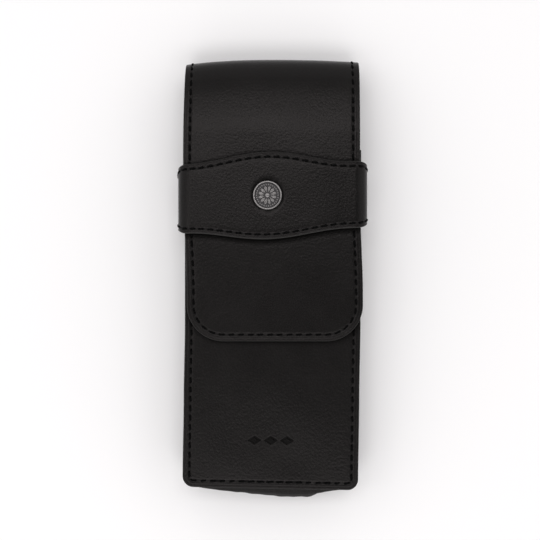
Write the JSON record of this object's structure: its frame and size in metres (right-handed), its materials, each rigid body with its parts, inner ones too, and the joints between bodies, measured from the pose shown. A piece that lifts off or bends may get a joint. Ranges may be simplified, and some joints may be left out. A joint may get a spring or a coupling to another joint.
{
  "type": "pen case",
  "caption": "Flat leather pen case: a gusseted pocket with inner dividers, and a long flap folded over the top end and tucked under a sewn keeper band with a round metal button.",
  "frame": {"origin": "below the middle of the case, on the surface that its back lies on", "axes": "+X across the width, +Y along the length towards the folded top end, +Z out of the pocket's front"},
  "size_m": [0.0708, 0.1652, 0.0262],
  "materials": {
    "outer_leather": "smooth black calf leather, satin",
    "gusset_leather": "soft black leather, matte",
    "lining_leather": "black suede lining, matte",
    "thread": "waxed black thread",
    "button_metal": "antique nickel, dark in the hollows"
  },
  "bodies": {
    "case": {"back_outer": "outer_leather", "back_lining": "lining_leather", "front_outer": "outer_leather", "front_lining": "lining_leather", "left_gusset": "gusset_leather", "right_gusset": "gusset_leather", "bottom_gusset": "gusset_leather", "left_divider": "lining_leather", "right_divider": "lining_leather", "band_outer": "outer_leather", "band_lining": "lining_leather", "button_cap": "button_metal", "button_base": "button_metal", "front_seam_thread": "thread", "mouth_thread": "thread", "back_seam_thread": "thread", "band_upper_thread": "thread", "band_lower_thread": "thread"},
    "top_fold": {"fold_outer": "outer_leather", "fold_lining": "lining_leather", "fold_seam_thread": "thread"},
    "flap": {"flap_outer": "outer_leather", "flap_lining": "lining_leather", "flap_seam_thread": "thread"}
  },
  "joints": [
    {"name": "flap_open", "type": "hinge", "parent": "case", "child": "top_fold", "pos_m": [0, 0.07996, 0.00264], "axis": [-1, 0, 0], "range_deg": [0, 90], "deforming": ["band_outer", "band_lining", "band_upper_thread", "band_lower_thread"]},
    {"name": "flap_unfold", "type": "hinge", "parent": "top_fold", "child": "flap", "pos_m": [0, 0.07996, 0.01966], "axis": [-1, 0, 0], "range_deg": [0, 90]}
  ],
  "couplings": [
    {"joint": "flap_unfold", "follows": "flap_open", "ratio": 1}
  ]
}
